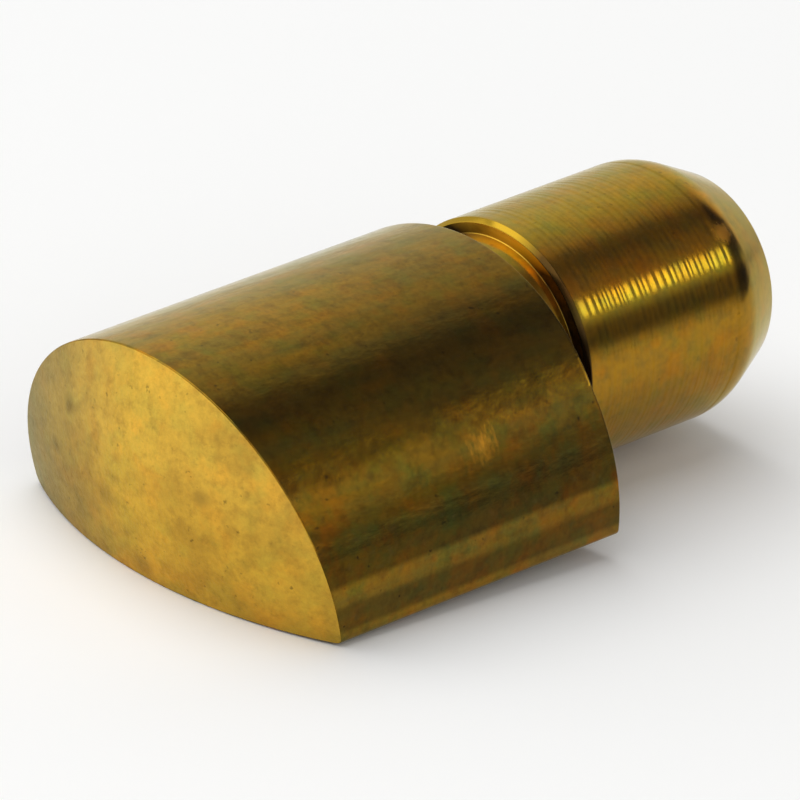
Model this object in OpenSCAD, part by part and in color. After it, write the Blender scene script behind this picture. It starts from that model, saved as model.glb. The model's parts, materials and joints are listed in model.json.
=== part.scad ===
// Shelf support pin, machined in one piece from brass.
// The pin lies along X and enters a drilled hole in the side panel, the shoulder at X = 0 stops on the panel,
// and the shelf rests on the flat of the half-round head. The part is drawn lying on that flat, so the flat
// faces down here and faces up in use. The origin is on the pin's axis at the shoulder.

/* [Head] */
// Diameter of the round side of the head
head_d = 8; // [6:0.1:12]
// Height of the head, from the flat to the crown of the round side
head_h = 4.5; // [3.5:0.1:5.5]
// Length of the head, from the shoulder to the middle of the domed end
head_len = 8.5; // [6:0.1:14]
// Radius of the domed end
dome_r = 8.4; // [6:0.1:20]
// Height of the dome's centre above the pin's axis
dome_rise = 0.7; // [0:0.1:1.5]
// How far the crown of the head stands above the pin
crown_step = 0; // [0:0.05:1]
// Bevel on the two long edges of the flat
flat_bevel = 0.12; // [0.05:0.01:0.3]
// Depth of the dished shoulder, so that only its two corners touch the panel
dish_depth = 0.28; // [0.05:0.01:0.5]
// Diameter of the flat bottom of the dish
dish_d = 6.8; // [5.6:0.1:8]

/* [Pin] */
// Diameter of the pin, which is that of the hole in the panel
pin_d = 5; // [4:0.1:6]
// Length of the pin, from the shoulder to its tip
pin_len = 5.85; // [4.5:0.05:10]
// Length of the taper that leads the pin into its hole
taper_len = 1.1; // [0.3:0.05:1.5]
// Diameter of the flat tip at the end of the taper
tip_d = 4; // [2.5:0.1:4.5]
// Bevel round the flat tip
tip_bevel = 0.05; // [0.02:0.01:0.3]

/* [Neck] */
// Width of the relief groove, from the plane of the shoulder's corners to the pin
neck_w = 0.48; // [0.2:0.02:1]
// Depth of the relief groove
neck_depth = 0.3; // [0.2:0.05:1]
// Bevel on the pin where it meets the groove
rim_bevel = 0.08; // [0.05:0.01:0.4]

/* [Hidden] */
// Fineness of the round faces
$fn = 160;

head_r = head_d / 2;
pin_r = pin_d / 2;
tip_r = tip_d / 2;
neck_r = pin_r - neck_depth;
// Heights above the pin's axis
crown_z = pin_r + crown_step;
flat_z = crown_z - head_h;
round_z = crown_z - head_r;
// Half the width of the flat, where it meets the round side
flat_half_w = sqrt(pow(head_r, 2) - pow(flat_z - round_z, 2));
// Distance of the dome's centre from the shoulder
dome_x = dome_r - head_len;
// Distance of the flat's corners from the pin's axis
corner_r = sqrt(pow(flat_half_w, 2) + pow(flat_z, 2));
dish_r = dish_d / 2;
// Length of the bar that the head is cut from, which runs past the dome
bar_len = head_len + head_r;
brass = [0.80, 0.64, 0.24];

// Turns a solid drawn along Z so that it lies along X
module along_x() {
    rotate([0, 90, 0]) children();
}

// Round bar of the head, long enough to run past the dome
module round_bar() {
    translate([-bar_len, 0, round_z]) along_x() cylinder(h = bar_len, r = head_r);
}

// Shallow dish turned into the shoulder round the pin, carried on past the shoulder
module shoulder_dish() {
    translate([-dish_depth, 0, 0]) along_x() cylinder(h = 2 * dish_depth, r1 = dish_r, r2 = 2 * corner_r - dish_r);
}

// Block that holds all of the bar above the flat
module above_flat() {
    translate([-bar_len, -head_d, flat_z]) cube([bar_len, 2 * head_d, head_d]);
}

// Square rods along the long edges of the flat, standing on a corner, that cut the bevels
module flat_bevel_rods() {
    rod_side = flat_bevel * sqrt(2);
    for (side = [-1, 1])
        translate([-head_len / 2, side * flat_half_w, flat_z]) rotate([45, 0, 0])
            cube([bar_len, rod_side, rod_side], center = true);
}

// Ball whose near side is the domed end, carried on past the shoulder as a rod
module dome_limits() {
    translate([dome_x, 0, dome_rise]) {
        sphere(r = dome_r);
        along_x() cylinder(h = head_len + dome_r, r = dome_r);
    }
}

module head() {
    difference() {
        intersection() {
            round_bar();
            above_flat();
            dome_limits();
        }
        flat_bevel_rods();
        shoulder_dish();
    }
}

// Half section of the neck and the pin: radius across, distance from the shoulder up
module pin_section() {
    polygon([
        [0, -dish_depth],
        [neck_r, -dish_depth],
        [neck_r, neck_w],
        [pin_r - rim_bevel, neck_w],
        [pin_r, neck_w + rim_bevel],
        [pin_r, pin_len - taper_len],
        [tip_r, pin_len - tip_bevel],
        [tip_r - tip_bevel, pin_len],
        [0, pin_len]
    ]);
}

module pin() {
    along_x() rotate_extrude() pin_section();
}

module support_pin() {
    color(brass) {
        head();
        pin();
    }
}

support_pin();
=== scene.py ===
import json
from math import acos, atan2, cos, hypot, pi, radians, sin, sqrt, tan

import bpy
import numpy as np
from mathutils import Matrix, Vector


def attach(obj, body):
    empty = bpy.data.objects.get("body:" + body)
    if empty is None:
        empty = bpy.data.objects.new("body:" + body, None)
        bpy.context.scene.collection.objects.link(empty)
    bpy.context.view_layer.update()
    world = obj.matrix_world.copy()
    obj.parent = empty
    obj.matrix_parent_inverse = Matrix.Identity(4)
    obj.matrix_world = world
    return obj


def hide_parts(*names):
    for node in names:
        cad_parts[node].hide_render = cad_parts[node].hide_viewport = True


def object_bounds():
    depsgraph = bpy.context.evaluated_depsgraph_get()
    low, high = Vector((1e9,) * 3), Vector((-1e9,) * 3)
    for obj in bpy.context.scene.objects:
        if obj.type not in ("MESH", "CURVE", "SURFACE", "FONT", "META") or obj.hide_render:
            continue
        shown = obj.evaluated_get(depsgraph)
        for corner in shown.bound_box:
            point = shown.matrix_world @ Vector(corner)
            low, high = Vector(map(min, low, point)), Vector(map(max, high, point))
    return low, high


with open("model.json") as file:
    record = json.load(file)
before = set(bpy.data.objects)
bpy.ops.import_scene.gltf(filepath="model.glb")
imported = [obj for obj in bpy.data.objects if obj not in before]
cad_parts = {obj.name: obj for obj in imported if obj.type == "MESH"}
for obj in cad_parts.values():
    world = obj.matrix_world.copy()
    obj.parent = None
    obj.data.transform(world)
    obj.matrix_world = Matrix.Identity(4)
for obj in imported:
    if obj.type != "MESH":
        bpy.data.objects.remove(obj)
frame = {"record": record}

cad_low, cad_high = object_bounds()

# Sizes in millimetres, in the frame of the part: X along the pin, origin on its axis at the shoulder
MM = 0.001
mounts = {mount["name"]: mount for mount in frame["record"]["mounts"]}
HEAD_LEN = -cad_low.x / MM
HEAD_R = cad_high.y / MM
CROWN_Z = cad_high.z / MM
FLAT_Z = mounts["shelf_seat"]["pos_m"][2] / MM
ROUND_Z = CROWN_Z - HEAD_R
DOME_R = 8.4
DOME_RISE = 0.7
DOME_X = DOME_R - HEAD_LEN
PIN_R = mounts["pin"]["dims"]["r_mm"]
PIN_LEN = cad_high.x / MM
NECK_W = 0.48
NECK_DEPTH = 0.3
NECK_R = PIN_R - NECK_DEPTH
RIM_BEVEL = 0.08
RIM_X = NECK_W + RIM_BEVEL
TAPER_LEN = 1.1
TAPER_X = PIN_LEN - TAPER_LEN
# Radius at which the line of the taper meets the plane of the tip
TIP_R = 1.97
# Dished shoulder: its depth, the radius of its flat bottom and how far its corners lie from the pin's axis
DISH_DEPTH = 0.28
DISH_R = 3.4
CORNER_R = hypot(sqrt(HEAD_R ** 2 - (FLAT_Z - ROUND_Z) ** 2), FLAT_Z)

# Roundings of the edges
FLAT_EDGE_R = 0.13
DOME_EDGE_R = 0.03
SHOULDER_EDGE_R = 0.03
GROOVE_R = 0.03
RIM_R = 0.03
TAPER_EDGE_R = 1.25
TIP_EDGE_R = 0.06

# Turning rings on the pin: each has a long flank that sinks slowly and a short one that rises again
RING_START = RIM_X + 0.1
RING_END = TAPER_X - 0.32
RING_PITCH = 0.145
RING_SPREAD = (0.55, 1.45)
RING_SLOPES = (0.018, 0.035)
RING_LONG_FLANK = 0.8
RING_SEED = 5
# Points of a ring, as shares of its long flank: along that flank, and along and down on the short one
LONG_FLANK_POINTS = (0.08, 0.35, 0.65, 0.92)
SHORT_FLANK_ALONG = 1.15
SHORT_FLANK_DOWN = 0.8

# Steps of the mesh, and how close beside an edge a ring keeps the shading flat
ROUND_STEPS = 190
FLAT_STEPS = 56
FILLET_STEPS = 7
DOME_RINGS = 44
SIDE_RINGS = 30
SHOULDER_RINGS = 8
SUPPORT = 0.05
SHOULDER_SUPPORT_SHARE = 0.05

# Looks of the surface, in the order of the part's materials
SATIN_LOOK, DRAWN_LOOK, TURNED_LOOK, GROOVE_LOOK = range(4)


# Shape of the part

def head_outline():
    """Points (y, z) of the D-shaped section of the head, anticlockwise, with its two long edges rounded."""
    centre_z = FLAT_Z + FLAT_EDGE_R
    centre_y = sqrt((HEAD_R - FLAT_EDGE_R) ** 2 - (centre_z - ROUND_Z) ** 2)
    low = atan2(centre_z - ROUND_Z, centre_y)
    points = []
    for angle in np.linspace(low, pi - low, ROUND_STEPS):
        points.append((HEAD_R * cos(angle), ROUND_Z + HEAD_R * sin(angle)))
    for angle in np.linspace(pi - low, 1.5 * pi, FILLET_STEPS)[1:-1]:
        points.append((-centre_y + FLAT_EDGE_R * cos(angle), centre_z + FLAT_EDGE_R * sin(angle)))
    for y in np.linspace(-centre_y, centre_y, FLAT_STEPS):
        points.append((y, FLAT_Z))
    for angle in np.linspace(-0.5 * pi, low, FILLET_STEPS)[1:-1]:
        points.append((centre_y + FLAT_EDGE_R * cos(angle), centre_z + FLAT_EDGE_R * sin(angle)))
    return np.array(points)


def rounded(corners):
    """Points of a profile given as corners (x, radius, rounding), with each inner corner made an arc."""
    points = [np.array(corners[0][:2])]
    for before, corner, after in zip(corners, corners[1:], corners[2:]):
        here = np.array(corner[:2])
        to_before = np.array(before[:2]) - here
        to_after = np.array(after[:2]) - here
        to_before /= np.linalg.norm(to_before)
        to_after /= np.linalg.norm(to_after)
        half = acos(np.clip(to_before @ to_after, -1, 1)) / 2
        middle = (to_before + to_after) / np.linalg.norm(to_before + to_after)
        centre = here + middle * corner[2] / sin(half)
        start = here + to_before * corner[2] / tan(half) - centre
        end = here + to_after * corner[2] / tan(half) - centre
        first = atan2(start[1], start[0])
        sweep = (atan2(end[1], end[0]) - first + pi) % (2 * pi) - pi
        for share in np.linspace(0, 1, FILLET_STEPS):
            angle = first + sweep * share
            points.append(centre + corner[2] * np.array((cos(angle), sin(angle))))
    points.append(np.array(corners[-1][:2]))
    return points


def dome_rings(turn, reach):
    """Rings of the domed end, from its middle to the straight side, with a rounded edge between the two."""
    middle_r = DOME_RISE * np.sin(turn)
    arc_r = np.sqrt(DOME_R ** 2 - (DOME_RISE * np.cos(turn)) ** 2)
    fillet_r = reach - DOME_EDGE_R
    fillet_x = DOME_X - np.sqrt((arc_r - DOME_EDGE_R) ** 2 - (fillet_r - middle_r) ** 2)
    grow = arc_r / (arc_r - DOME_EDGE_R)
    edge_r = middle_r + (fillet_r - middle_r) * grow
    edge_x = DOME_X + (fillet_x - DOME_X) * grow
    rings = []
    for share in np.append(np.linspace(0, 1, DOME_RINGS)[1:-1], 1 - SUPPORT / HEAD_R):
        radius = share * edge_r
        rings.append((DOME_X - np.sqrt(arc_r ** 2 - (radius - middle_r) ** 2), radius))
    first = np.arctan2(edge_r - fillet_r, edge_x - fillet_x)
    for share in np.linspace(0, 1, FILLET_STEPS):
        angle = first + (pi / 2 - first) * share
        rings.append((fillet_x + DOME_EDGE_R * np.cos(angle), fillet_r + DOME_EDGE_R * np.sin(angle)))
    return rings, fillet_x


def dish_x(radius):
    """Place along X of the dished shoulder at a distance from the pin's axis."""
    return -DISH_DEPTH * np.clip((CORNER_R - radius) / (CORNER_R - DISH_R), 0, 1)


def side_rings(start_x, reach):
    """Rings of the straight side of the head and of the rounded edge of its shoulder."""
    end_x = dish_x(reach) - SHOULDER_EDGE_R
    rings = [(start_x + SUPPORT, reach)]
    for share in np.linspace(0, 1, SIDE_RINGS)[1:-1]:
        rings.append((start_x + (end_x - start_x) * share, reach))
    rings.append((end_x - SUPPORT, reach))
    for angle in np.linspace(pi / 2, 0, FILLET_STEPS):
        rings.append((end_x + SHOULDER_EDGE_R * cos(angle), reach + SHOULDER_EDGE_R * (sin(angle) - 1)))
    return rings


def shoulder_rings(reach):
    """Rings of the shoulder's dished face, from its edge to the neck."""
    edge_r = reach - SHOULDER_EDGE_R
    inner_shares = np.linspace(0, 1, SHOULDER_RINGS)[1:-1]
    rings = []
    for share in (SHOULDER_SUPPORT_SHARE, *inner_shares, 1 - SHOULDER_SUPPORT_SHARE, 1):
        radius = edge_r + (NECK_R - edge_r) * share
        rings.append((dish_x(radius), radius))
    return rings


def pin_profile():
    """Points (x, radius) of the neck, the ringed pin and its tapered tip."""
    neck = rounded([
        (SUPPORT - DISH_DEPTH, NECK_R),
        (NECK_W, NECK_R, GROOVE_R),
        (NECK_W, PIN_R - RIM_BEVEL, GROOVE_R),
        (RIM_X, PIN_R, RIM_R),
        (RING_START, PIN_R),
    ])
    tip = rounded([
        (RING_END, PIN_R),
        (TAPER_X, PIN_R, TAPER_EDGE_R),
        (PIN_LEN, TIP_R, TIP_EDGE_R),
        (PIN_LEN, SUPPORT),
    ])
    rings = round((RING_END - RING_START) / RING_PITCH)
    draw = np.random.default_rng(RING_SEED)
    widths = draw.uniform(*RING_SPREAD, rings)
    starts = RING_START + (RING_END - RING_START) * np.append(0, np.cumsum(widths)) / widths.sum()
    body = []
    for first, last, slope in zip(starts, starts[1:], draw.uniform(*RING_SLOPES, rings)):
        flank = (last - first) * RING_LONG_FLANK
        for share in LONG_FLANK_POINTS:
            body.append(np.array((first + flank * share, PIN_R - flank * slope * share)))
        body.append(np.array((first + flank * SHORT_FLANK_ALONG, PIN_R - flank * slope * SHORT_FLANK_DOWN)))
    return neck + body + tip


def build_part():
    """One closed mesh of the whole part, from the middle of the domed end to the middle of the tip."""
    outline = head_outline()
    turn = np.arctan2(outline[:, 1], outline[:, 0])
    reach = np.hypot(outline[:, 0], outline[:, 1])
    ends, side_x = dome_rings(turn, reach)
    sides = side_rings(side_x, reach)
    shoulder = shoulder_rings(reach)
    pins = [(np.full_like(reach, x), np.full_like(reach, radius)) for x, radius in pin_profile()]
    rings = ends + sides + shoulder + pins
    places = [(DOME_X - sqrt(DOME_R ** 2 - DOME_RISE ** 2), 0.0, 0.0)]
    for x, radius in rings:
        places.extend(zip(x, radius * np.cos(turn), radius * np.sin(turn)))
    places.append((PIN_LEN, 0.0, 0.0))

    # Stretches of the surface: the ring that each one ends at, and its look
    shoulder_from = len(ends) + len(sides)
    neck_from = shoulder_from + len(shoulder) - 1
    wall_from = neck_from + 1 + FILLET_STEPS // 2
    stretches = [
        (len(ends) - FILLET_STEPS, SATIN_LOOK),
        (shoulder_from, DRAWN_LOOK),
        (neck_from, GROOVE_LOOK),
        (wall_from, TURNED_LOOK),
        (wall_from + FILLET_STEPS, GROOVE_LOOK),
        (len(rings) - 1, TURNED_LOOK),
    ]
    count = len(turn)
    faces = [(0, 1 + j, 1 + (j + 1) % count) for j in range(count)]
    looks = [SATIN_LOOK] * count
    start = 0
    for end, look in stretches:
        for i in range(start, end):
            low = 1 + i * count
            high = low + count
            for j in range(count):
                k = (j + 1) % count
                faces.append((low + j, high + j, high + k, low + k))
                looks.append(look)
        start = end
    last = len(places) - 1
    low = last - count
    for j in range(count):
        faces.append((last, low + (j + 1) % count, low + j))
        looks.append(TURNED_LOOK)

    mesh = bpy.data.meshes.new("support_pin_brass")
    mesh.from_pydata(np.array(places) * MM, [], faces)
    mesh.polygons.foreach_set("use_smooth", [True] * len(faces))
    mesh.polygons.foreach_set("material_index", looks)
    mesh.update()
    part = bpy.data.objects.new("support_pin_brass", mesh)
    bpy.context.scene.collection.objects.link(part)
    return part


# Tools for the materials

def node(tree, kind, settings=None, **inputs):
    """A new node with its settings, and its inputs, by name or as i0, i1 and so on, set or linked."""
    made = tree.nodes.new(kind)
    for name, value in (settings or {}).items():
        setattr(made, name, value)
    for name, value in inputs.items():
        key = int(name[1:]) if name[1:].isdigit() else name.replace("_", " ")
        if isinstance(value, bpy.types.NodeSocket):
            tree.links.new(value, made.inputs[key])
        else:
            made.inputs[key].default_value = value
    return made


def maths(tree, operation, *terms):
    """The result of an operation on numbers."""
    inputs = {f"i{k}": term for k, term in enumerate(terms)}
    return node(tree, "ShaderNodeMath", {"operation": operation}, **inputs).outputs[0]


def vector_maths(tree, operation, first, second):
    """The node of an operation on two vectors, with its outputs Vector and Value."""
    return node(tree, "ShaderNodeVectorMath", {"operation": operation}, i0=first, i1=second)


def split(tree, place):
    """The outputs X, Y and Z of a place."""
    return node(tree, "ShaderNodeSeparateXYZ", None, Vector=place).outputs


def grain(tree, place, scale, detail=3, rough=0.55, stretch=None):
    """Noise between 0 and 1 over the part, with the place multiplied by factors along the axes if given."""
    if stretch:
        place = vector_maths(tree, "MULTIPLY", place, stretch).outputs["Vector"]
    made = node(tree, "ShaderNodeTexNoise", None, Vector=place, Scale=scale, Detail=detail, Roughness=rough)
    return made.outputs["Fac"]


def ranged(tree, value, low, high, to_low, to_high):
    """The value mapped from one range to another and held inside it."""
    made = node(tree, "ShaderNodeMapRange", None, Value=value, From_Min=low, From_Max=high, To_Min=to_low,
                To_Max=to_high)
    return made.outputs["Result"]


def layer(tree, place, noise, most=1, stretch=None):
    """Share of a layer of patches over the part, from none to the most."""
    scale, detail, rough, low, high = noise
    return ranged(tree, grain(tree, place, scale, detail, rough, stretch), low, high, 0, most)


def blended(tree, share, first, second, blend="MIX"):
    """Two colours mixed by a share."""
    settings = {"data_type": "RGBA", "blend_type": blend}
    return node(tree, "ShaderNodeMix", settings, i0=share, i6=first, i7=second).outputs[2]


def ramp(tree, share, stops, interpolation="LINEAR"):
    """Colour at a share, between stops given as position and colour."""
    made = node(tree, "ShaderNodeValToRGB", None, Fac=share)
    made.color_ramp.interpolation = interpolation
    elements = made.color_ramp.elements
    while len(elements) < len(stops):
        elements.new(1.0)
    for element, (position, colour) in zip(elements, stops):
        element.position = position
        element.color = colour
    return made.outputs["Color"]


def bumped(tree, shader, height, depth):
    """Gives the shader a relief of a depth in millimetres."""
    made = node(tree, "ShaderNodeBump", None, Height=height, Distance=depth * MM, Strength=1.0)
    tree.links.new(made.outputs["Normal"], shader.inputs["Normal"])


# Colours of the brass on each surface
EDGE_TINT = (1.0, 0.96, 0.72, 1)
GROUND = (0.80, 0.50, 0.065, 1)
GROUND_DULL = (0.60, 0.36, 0.05, 1)
# Grey painted on the dome's far limb as shade
GROUND_GREY = (0.32, 0.24, 0.09, 1)
DRAWN = (0.29, 0.15, 0.012, 1)
DRAWN_DULL = (0.205, 0.13, 0.02, 1)
TURNED = (0.68, 0.34, 0.024, 1)
TURNED_DULL = (0.54, 0.305, 0.036, 1)
# Yellow of the painted highlight on the pin's rim
RIM_HIGHLIGHT = (0.38, 0.23, 0.016, 1)
# Painted bright reflection high on the groove's wall
GROOVE_REFLECTION = (0.95, 0.56, 0.055, 1)
# Orange of the painted highlight on the head
PAINTED_HIGHLIGHT_ORANGE = (0.72, 0.33, 0.028, 1)
COPPER = (0.95, 0.42, 0.05, 1)
STAIN = (0.10, 0.06, 0.02, 1)
# Dark of dirt in pits, also used as painted shade on the pin's rim and low in the groove
DIRT_AND_SHADE = (0.03, 0.018, 0.008, 1)
# Colours that multiply those
BRIGHTER = (1.25, 1.25, 1.0, 1)
# Painted shade on the lower part of the dome
DOME_LOWER_SHADE = (0.64, 0.62, 0.42, 1)
OLIVE = (0.76, 1.04, 1.2, 1)
ORANGE = (1.24, 0.95, 0.7, 1)
DARK = (0.66, 0.62, 0.68, 1)
# Thin pale dust on every surface but the groove
DUST = 0.038

# Layers of patches: scale, detail and roughness of the noise, and its values where they begin and are full
OLIVE_PATCHES = (1.7, 4, 0.55, 0.48, 0.64)
ORANGE_PATCHES = (1.43, 4, 0.55, 0.5, 0.64)
SPECKLES = (8, 5, 0.75, 0.4, 0.75)
DARK_PATCHES = (3.04, 4, 0.65, 0.48, 0.66)
PITS = (5.775, 2, 0.55, 0.69, 0.77)
GROUND_CLOUDS = (0.8, 4, 0.55, 0.38, 0.66)
DRAWN_STREAKS = (2.2, 3, 0.55, 0.35, 0.65)
LOWER_OLIVE = (1.25, 4, 0.6, 0.48, 0.6)
LOWER_ORANGE = (1.05, 4, 0.6, 0.48, 0.6)
TURNED_CLOUDS = (4, 4, 0.55, 0.4, 0.7)
# Factors that draw a noise out along the head, round the pin or upright
LENGTHWISE = (0.12, 1, 1)
HALF_LENGTHWISE = (0.4, 1, 1)
ROUND_ABOUT = (1, 0.05, 0.05)
UPRIGHT = (2.5, 1, 1)


def metal(name):
    """A new metal material with its node tree, its shader and the place on the part in millimetres."""
    material = bpy.data.materials.new(name)
    material.use_nodes = True
    tree = material.node_tree
    shader = tree.nodes["Principled BSDF"]
    shader.inputs["Metallic"].default_value = 1.0
    shader.inputs["Specular Tint"].default_value = EDGE_TINT
    shader.inputs["Sheen Weight"].default_value = DUST
    spot = node(tree, "ShaderNodeTexCoord").outputs["Object"]
    place = node(tree, "ShaderNodeVectorMath", {"operation": "SCALE"}, i0=spot, Scale=1 / MM)
    return material, tree, shader, place.outputs["Vector"]


def mottled(tree, place, base, tint, depth):
    """The colour with olive and orange tarnished patches, and with dark patches, speckles and pits."""
    base = blended(tree, layer(tree, place, OLIVE_PATCHES, tint), base, OLIVE, "MULTIPLY")
    base = blended(tree, layer(tree, place, ORANGE_PATCHES, tint), base, ORANGE, "MULTIPLY")
    base = blended(tree, layer(tree, place, SPECKLES, depth), base, DARK, "MULTIPLY")
    base = blended(tree, layer(tree, place, DARK_PATCHES, depth), base, DARK, "MULTIPLY")
    return blended(tree, layer(tree, place, PITS, depth), base, DIRT_AND_SHADE)


def wavering(tree, place, level, amount):
    """The level shifted a little, in long wavering lines."""
    waver = grain(tree, place, 1.5, 2, stretch=LENGTHWISE)
    return maths(tree, "MULTIPLY_ADD", waver, amount, level)


def marked(tree, place, middle, edge, ragged, full, gone, share):
    """Share of a mark round a place: full up to one distance, gone past another, with a ragged edge."""
    away = vector_maths(tree, "DISTANCE", place, middle).outputs["Value"]
    return ranged(tree, maths(tree, "MULTIPLY_ADD", edge, ragged, away), full, gone, share, 0)


# Domed end: where its far side is painted grey as shade, across, and where its lower part is painted darker
# as shade, up
GREY_ACROSS = (0.3, 3.6)
DOME_SHADE_UP = (-0.6, 0.8)
DOME_SHADE_SHARE = 0.5
SATIN_ROUGH = (0.38, 0.5)
SATIN_DEPTH = 0.012
# Its stains: place across and up, radius and strength, with the edge at these shares of the radius
DOME_STAINS = [
    (2.0, 0.7, 0.28, 0.55),
    (2.45, -0.35, 0.25, 0.45),
    (0.8, -0.6, 0.35, 0.3),
    (-1.55, 0.3, 0.25, 0.3),
    (0.0, -1.7, 0.4, 0.35),
]
STAIN_EDGE = (0.7, 1.4)


def satin_brass():
    """Ground end of the head: fine matt grain, cloudy tarnished patches, and painted shade: a greyer far
    side and a darker lower part.
    """
    material, tree, shader, place = metal("brass_satin")
    spot = split(tree, place)
    specks = grain(tree, place, 7)
    base = blended(tree, layer(tree, place, GROUND_CLOUDS), GROUND, GROUND_DULL)
    # Painted shade: the far side of the dome is greyed towards its limb
    base = blended(tree, ranged(tree, spot["Y"], *GREY_ACROSS, 0, 1), base, GROUND_GREY)
    # Painted shade: the lower part of the dome is darkened
    base = blended(tree, ranged(tree, spot["Z"], *DOME_SHADE_UP, DOME_SHADE_SHARE, 0), base, DOME_LOWER_SHADE, "MULTIPLY")
    base = mottled(tree, place, base, tint=0.3, depth=0.5)
    base = blended(tree, ranged(tree, specks, 0.6, 0.8, 0, 0.25), base, STAIN)
    flat = vector_maths(tree, "MULTIPLY", place, (0, 1, 1)).outputs["Vector"]
    edge = grain(tree, place, 4, 4)
    for y, z, radius, share in DOME_STAINS:
        full, gone = (radius * limit for limit in STAIN_EDGE)
        base = blended(tree, marked(tree, flat, (0, y, z), edge, radius, full, gone, share), base, STAIN)
    tree.links.new(base, shader.inputs["Base Color"])
    tree.links.new(ranged(tree, specks, 0.3, 0.7, *SATIN_ROUGH), shader.inputs["Roughness"])
    bumped(tree, shader, grain(tree, place, 14, 4, 0.65), SATIN_DEPTH)
    return material


# Painted reflection bands along the head, darker by height where it would reflect dark surroundings:
# height above the pin's axis, share of the red and of the green of clean brass
HEAD_PAINTED_BANDS = [
    (-1.75, 1.0, 1.0),
    (-1.6, 0.45, 0.45),
    (-1.25, 0.4, 0.4),
    (-1.1, 0.7, 0.7),
    (-0.85, 0.7, 0.7),
    (-0.7, 0.27, 0.27),
    (-0.22, 0.28, 0.28),
    (-0.07, 0.46, 0.46),
    (0.1, 1.0, 1.0),
    (0.8, 1.0, 1.0),
    (1.1, 0.7, 0.7),
    (1.6, 1.0, 1.0),
]
HEAD_WAVER = 0.12
# Painted reflection bands along the pin in the same way, at angles in degrees round its axis from the near
# side up
PIN_PAINTED_BANDS = [
    (-180, 0.55, 0.6),
    (-40, 0.65, 0.7),
    (-8, 0.45, 0.45),
    (18, 0.55, 0.55),
    (31, 0.25, 0.25),
    (39, 0.75, 0.95),
    (48, 0.95, 0.8),
    (66, 0.85, 0.8),
    (80, 0.6, 0.75),
    (110, 0.5, 0.6),
    (180, 0.55, 0.6),
]
PIN_WAVER = 4.0
# The taper has one even darkening all round in place of the painted bands, which begins over this length
TAPER_EVEN_DARKENING = (0.50, 0.60, 0.75, 1)
TAPER_FADE = 0.3


def painted_bands(tree, level, table):
    """Share of clean brass at a level, between the entries of a table of painted reflection bands."""
    lowest, highest = table[0][0], table[-1][0]
    stops = [((at - lowest) / (highest - lowest), (red, green, green, 1)) for at, red, green in table]
    return ramp(tree, ranged(tree, level, lowest, highest, 0, 1), stops, "EASE")


# A highlight painted as an orange patch on the near side of the head, and a copper-red spot near the pin's
# tip:
# place, scale of the noise at the edge and how far it reaches, and where the mark is full and gone
HEAD_PAINTED_HIGHLIGHT = ((-3.2, -3.41, 0.62), 3, 1.0, 0.45, 0.85)
RED_SPOT = ((4.62, -1.67, 1.86), 6, 0.3, 0.26, 0.42)
MARK_SHARE = 0.8


def ragged_mark(tree, place, middle, scale, ragged, full, gone):
    """Share of a mark with a ragged edge."""
    edge = grain(tree, place, scale, 4, 0.65, UPRIGHT)
    return marked(tree, place, middle, edge, ragged, full, gone, MARK_SHARE)


# Sides of the head: where they are brighter, along, and where they have more colour, up
BRIGHTER_ALONG = (-5.5, -2.5)
COLOURED_UP = (0.4, 1.4)
DRAWN_ROUGH = (0.13, 0.2)
DRAWN_DEPTH = 0.016


def drawn_brass():
    """Long sides of the head: drawn bar with fine lengthwise lines, patches of tarnished colour, painted
    reflection bands and a painted highlight.
    """
    material, tree, shader, place = metal("brass_drawn")
    spot = split(tree, place)
    specks = grain(tree, place, 5)
    base = blended(tree, layer(tree, place, DRAWN_STREAKS, stretch=LENGTHWISE), DRAWN, DRAWN_DULL)
    base = mottled(tree, place, base, tint=0.6, depth=0.75)
    # Painted reflection: the brass is darkened in bands by height along the head
    lines = painted_bands(tree, wavering(tree, place, spot["Z"], HEAD_WAVER), HEAD_PAINTED_BANDS)
    base = blended(tree, 1.0, base, lines, "MULTIPLY")
    base = blended(tree, ranged(tree, spot["X"], *BRIGHTER_ALONG, 1, 0), base, BRIGHTER, "MULTIPLY")
    lower = ranged(tree, spot["Z"], *COLOURED_UP, 1, 0)
    for patches, tint in ((LOWER_OLIVE, OLIVE), (LOWER_ORANGE, ORANGE)):
        share = maths(tree, "MULTIPLY", layer(tree, place, patches), lower)
        base = blended(tree, share, base, tint, "MULTIPLY")
    base = blended(tree, ranged(tree, specks, 0.58, 0.8, 0, 0.4), base, STAIN)
    # Painted highlight: an orange patch on the near side of the head
    base = blended(tree, ragged_mark(tree, place, *HEAD_PAINTED_HIGHLIGHT), base, PAINTED_HIGHLIGHT_ORANGE)
    tree.links.new(base, shader.inputs["Base Color"])
    tree.links.new(ranged(tree, specks, 0.35, 0.7, *DRAWN_ROUGH), shader.inputs["Roughness"])
    bumped(tree, shader, grain(tree, place, 1.8, 4, 0.5, HALF_LENGTHWISE), DRAWN_DEPTH)
    return material


# Rim of the pin beside the groove, painted dark as shade except for a band of painted highlight: the angles
# of that highlight and where the rim is lit, and the height above which it isn't painted dark. The rim
# begins inside the groove's wall and ends past its bevel
RIM_HIGHLIGHT_ANGLES = (64, 74)
RIM_LIT_ANGLES = (66, 82)
RIM_LEAST_LIT = 0.1
RIM_LIT_UP = (0.3, 1.2)
RIM_BEGINS = (NECK_W - 0.03, NECK_W - 0.01)
RIM_ENDS = (RIM_X, RIM_X + 0.03)
TURNED_ROUGH = (0.13, 0.2)
TURNED_DEPTH = 0.0006
SPOT_ROUGH = 0.28


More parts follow.
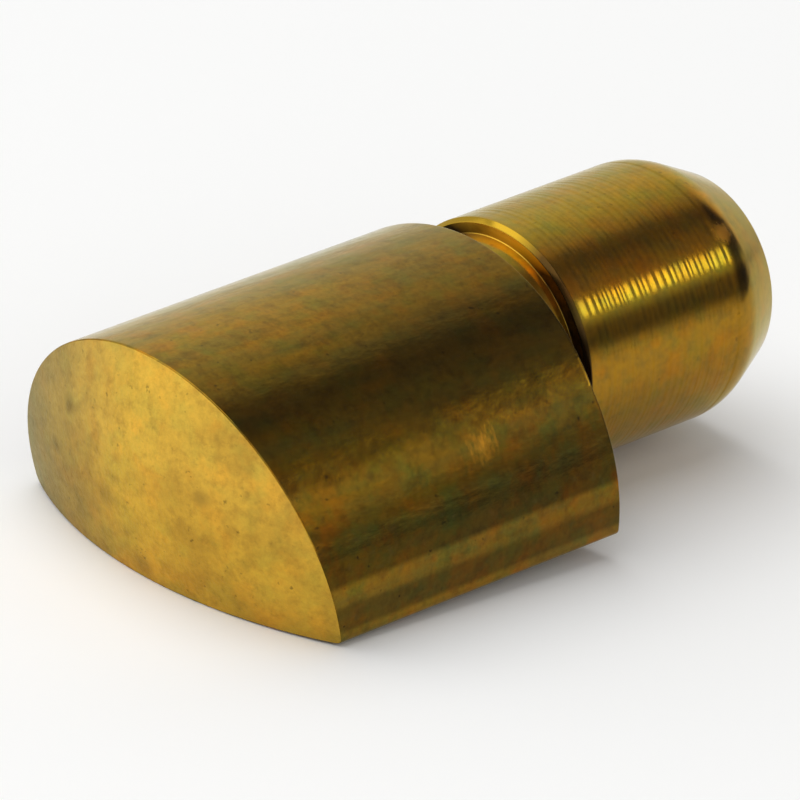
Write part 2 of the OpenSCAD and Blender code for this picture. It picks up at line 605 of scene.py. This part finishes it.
def turned_brass():
    """Pin and its tip: turned on a lathe, with fine rings round the axis, painted reflection bands round it,
    and painted highlight and shade on its rim.
    """
    material, tree, shader, place = metal("brass_turned")
    spot = split(tree, place)
    lines = grain(tree, place, 11, stretch=ROUND_ABOUT)
    base = blended(tree, layer(tree, place, TURNED_CLOUDS), TURNED, TURNED_DULL)
    base = mottled(tree, place, base, tint=0.55, depth=0.35)
    near = maths(tree, "MULTIPLY", spot["Y"], -1.0)
    angle = maths(tree, "DEGREES", maths(tree, "ARCTAN2", spot["Z"], near))
    # Painted reflection: the pin is darkened in bands by the angle from its near side
    bands = painted_bands(tree, wavering(tree, place, angle, PIN_WAVER), PIN_PAINTED_BANDS)
    tapered = ranged(tree, spot["X"], TAPER_X, TAPER_X + TAPER_FADE, 0, 1)
    bands = blended(tree, tapered, bands, TAPER_EVEN_DARKENING)
    base = blended(tree, 1.0, base, bands, "MULTIPLY")
    red = ragged_mark(tree, place, *RED_SPOT)
    base = blended(tree, red, base, COPPER)
    # Painted highlight on the rim in a band of angles from the near side, and painted shade on the rest of
    # it
    rim = blended(tree, ranged(tree, angle, *RIM_HIGHLIGHT_ANGLES, 0, 1), base, RIM_HIGHLIGHT)
    clean = ranged(tree, angle, *RIM_LIT_ANGLES, RIM_LEAST_LIT, 1)
    clean = maths(tree, "MULTIPLY", clean, ranged(tree, spot["Z"], *RIM_LIT_UP, 0, 1))
    rim = blended(tree, clean, DIRT_AND_SHADE, rim)
    rim = blended(tree, ranged(tree, spot["X"], *RIM_BEGINS, 0, 1), base, rim)
    base = blended(tree, ranged(tree, spot["X"], *RIM_ENDS, 1, 0), base, rim)
    tree.links.new(base, shader.inputs["Base Color"])
    rough = ranged(tree, lines, 0.3, 0.7, *TURNED_ROUGH)
    rough = maths(tree, "MULTIPLY_ADD", red, SPOT_ROUGH, rough)
    tree.links.new(rough, shader.inputs["Roughness"])
    bumped(tree, shader, lines, TURNED_DEPTH)
    return material


# Groove: heights between which its dirt, darkened as painted shade, gives way to a painted bright reflection
GROOVE_LIT_UP = (2.0, 2.33)
GROOVE_ROUGH = (0.5, 0.35)
GROOVE_DEPTH = 0.002


def groove_brass():
    """Shoulder's face and neck groove: turned, with dirt in the groove darkened as painted shade low down,
    and a painted bright reflection near the top.
    """
    material, tree, shader, place = metal("brass_groove")
    shader.inputs["Sheen Weight"].default_value = 0.0
    patches = grain(tree, place, 3)
    base = blended(tree, ranged(tree, patches, 0.35, 0.65, 0, 0.4), DIRT_AND_SHADE, DRAWN)
    # Painted reflection near the top of the groove and shoulder, painted shade below it
    base = blended(tree, ranged(tree, split(tree, place)["Z"], *GROOVE_LIT_UP, 0, 1), base, GROOVE_REFLECTION)
    tree.links.new(base, shader.inputs["Base Color"])
    tree.links.new(ranged(tree, patches, 0.3, 0.7, *GROOVE_ROUGH), shader.inputs["Roughness"])
    bumped(tree, shader, grain(tree, place, 11, stretch=ROUND_ABOUT), GROOVE_DEPTH)
    return material


part = build_part()
for material in (satin_brass(), drawn_brass(), turned_brass(), groove_brass()):
    part.data.materials.append(material)
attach(part, "root")
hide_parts("support_pin")

# Floor: the part lies on the lower edge of its domed end and on the rim of its pin beside the groove
REST_HEAD = Vector((DOME_X - sqrt(DOME_R ** 2 - (FLAT_Z - DOME_RISE) ** 2), 0, FLAT_Z))
REST_PIN = Vector((RIM_X, 0, -PIN_R))
FLOOR_HALF = 600
FLOOR_COLOUR = (0.96, 0.96, 0.955, 1)
FLOOR_ROUGH = 0.9
FLOOR_SHINE = 0.1


def floor_paper():
    """Matt pale paper."""
    material = bpy.data.materials.new("floor_paper")
    material.use_nodes = True
    shader = material.node_tree.nodes["Principled BSDF"]
    shader.inputs["Base Color"].default_value = FLOOR_COLOUR
    shader.inputs["Roughness"].default_value = FLOOR_ROUGH
    shader.inputs["Specular IOR Level"].default_value = FLOOR_SHINE
    return material


def lay_floor():
    """A flat sheet through the two places that the part rests on."""
    slope = REST_PIN - REST_HEAD
    half = FLOOR_HALF * MM
    corners = [(-half, -half, 0), (half, -half, 0), (half, half, 0), (-half, half, 0)]
    mesh = bpy.data.meshes.new("floor")
    mesh.from_pydata(corners, [], [(0, 1, 2, 3)])
    mesh.materials.append(floor_paper())
    floor = bpy.data.objects.new("floor", mesh)
    floor.location = (REST_HEAD + slope / 2) * MM
    floor.rotation_euler = (0, atan2(-slope.z, slope.x), 0)
    bpy.context.scene.collection.objects.link(floor)


lay_floor()


def soft_box(name, toward, distance, width, height, brightness, tint=(1, 1, 1)):
    """A soft box that stands in a direction from the part, faces it and isn't seen itself."""
    lamp = bpy.data.lights.new(name, "AREA")
    lamp.shape = "RECTANGLE"
    lamp.color = tint
    lamp.size = width * MM
    lamp.size_y = height * MM
    lamp.energy = brightness * pi * lamp.size * lamp.size_y
    lamp_object = bpy.data.objects.new(name, lamp)
    toward = Vector(toward).normalized()
    upright = toward.cross(Vector((1, 0, 0))).normalized()
    turn = Matrix((upright.cross(toward), upright, toward)).transposed().to_4x4()
    lamp_object.matrix_world = Matrix.Translation(toward * distance * MM) @ turn
    lamp_object.visible_camera = False
    bpy.context.scene.collection.objects.link(lamp_object)


soft_box("key", (-0.25, 0.25, 0.93), 350, 460, 460, 1.45)
soft_box("fill", (-0.35, -0.70, 0.62), 400, 400, 300, 0.8)
soft_box("left", (-0.65, 0.70, 0.25), 400, 400, 200, 0.5)
soft_box("lamp", (0.71, -0.531, 0.462), 300, 22, 50, 3.5, tint=(1, 1, 0.6))

# Room: brightness at angles in degrees round the X axis, from below the near side, over the top, to the back
ROOM = [
    (-60, 0.7),
    (1, 0.7),
    (7, 0.23),
    (12, 0.23),
    (25, 0.6),
    (31, 0.65),
    (42, 0.3),
    (65, 0.17),
    (80, 0.09),
    (90, 0.13),
    (100, 0.36),
    (125, 0.75),
    (145, 0.92),
    (180, 0.9),
    (240, 0.4),
]
FULL_TURN = 360
ROOM_START = ROOM[0][0]
ROOM_END = ROOM_START + FULL_TURN
# Dark card past the tip: how far along X it begins and ends, its shade, and the angles where it fades upward
CARD_FROM = (0.70, 0.78)
CARD_TO = (0.96, 0.995)
CARD_SHADE = 0.85
CARD_FADE = (95, 110)
BLACK = (0, 0, 0, 1)


def light_room():
    """The room round the part, which its polished sides reflect as bright and dark bands."""
    world = bpy.data.worlds.new("room")
    world.use_nodes = True
    tree = world.node_tree
    way = split(tree, node(tree, "ShaderNodeTexCoord").outputs["Generated"])
    near = maths(tree, "MULTIPLY", way["Y"], -1.0)
    angle = maths(tree, "ARCTAN2", way["Z"], near)
    angle = maths(tree, "WRAP", angle, radians(ROOM_END), radians(ROOM_START))
    share = ranged(tree, angle, radians(ROOM_START), radians(ROOM_END), 0, 1)
    stops = [((at - ROOM_START) / FULL_TURN, (grey, grey, grey, 1)) for at, grey in ROOM]
    colour = ramp(tree, share, stops)
    card = ranged(tree, way["X"], *CARD_FROM, 0, CARD_SHADE)
    card = maths(tree, "MULTIPLY", card, ranged(tree, way["X"], *CARD_TO, 1, 0))
    fade_from, fade_to = (radians(limit) for limit in CARD_FADE)
    card = maths(tree, "MULTIPLY", card, ranged(tree, angle, fade_from, fade_to, 1, 0))
    colour = blended(tree, card, colour, BLACK)
    tree.links.new(colour, tree.nodes["Background"].inputs["Color"])
    bpy.context.scene.world = world


light_room()

# Camera: where the photograph was taken from, and how far its middle lies from the shoulder's middle
CAMERA_AZIMUTH = radians(46.91)
CAMERA_ELEVATION = radians(26.42)
CAMERA_ROLL = radians(4.76)
CAMERA_DISTANCE = 204.1
CAMERA_LENS = 503.8
AIM_RIGHT = -1.327
AIM_UP = -0.787
# Nearest and farthest that it sees, in metres
CAMERA_CLIP = (0.01, 10)


def place_camera():
    """The camera, turned from the shoulder's middle to the middle of the picture."""
    level_back = Vector((-sin(CAMERA_AZIMUTH), -cos(CAMERA_AZIMUTH), 0))
    level = Vector((cos(CAMERA_AZIMUTH), -sin(CAMERA_AZIMUTH), 0))
    back = level_back * cos(CAMERA_ELEVATION) + Vector((0, 0, sin(CAMERA_ELEVATION)))
    upright = back.cross(level)
    right = cos(CAMERA_ROLL) * level + sin(CAMERA_ROLL) * upright
    up = cos(CAMERA_ROLL) * upright - sin(CAMERA_ROLL) * level
    place = back * CAMERA_DISTANCE
    back = (place - right * AIM_RIGHT - up * AIM_UP).normalized()
    right = up.cross(back).normalized()
    up = back.cross(right)
    data = bpy.data.cameras.new("camera")
    data.lens = CAMERA_LENS
    data.clip_start, data.clip_end = CAMERA_CLIP
    camera = bpy.data.objects.new("camera", data)
    turn = Matrix((right, up, back)).transposed().to_4x4()
    camera.matrix_world = Matrix.Translation(place * MM) @ turn
    bpy.context.scene.collection.objects.link(camera)
    bpy.context.scene.camera = camera


place_camera()
bpy.context.scene.view_settings.view_transform = "Standard"
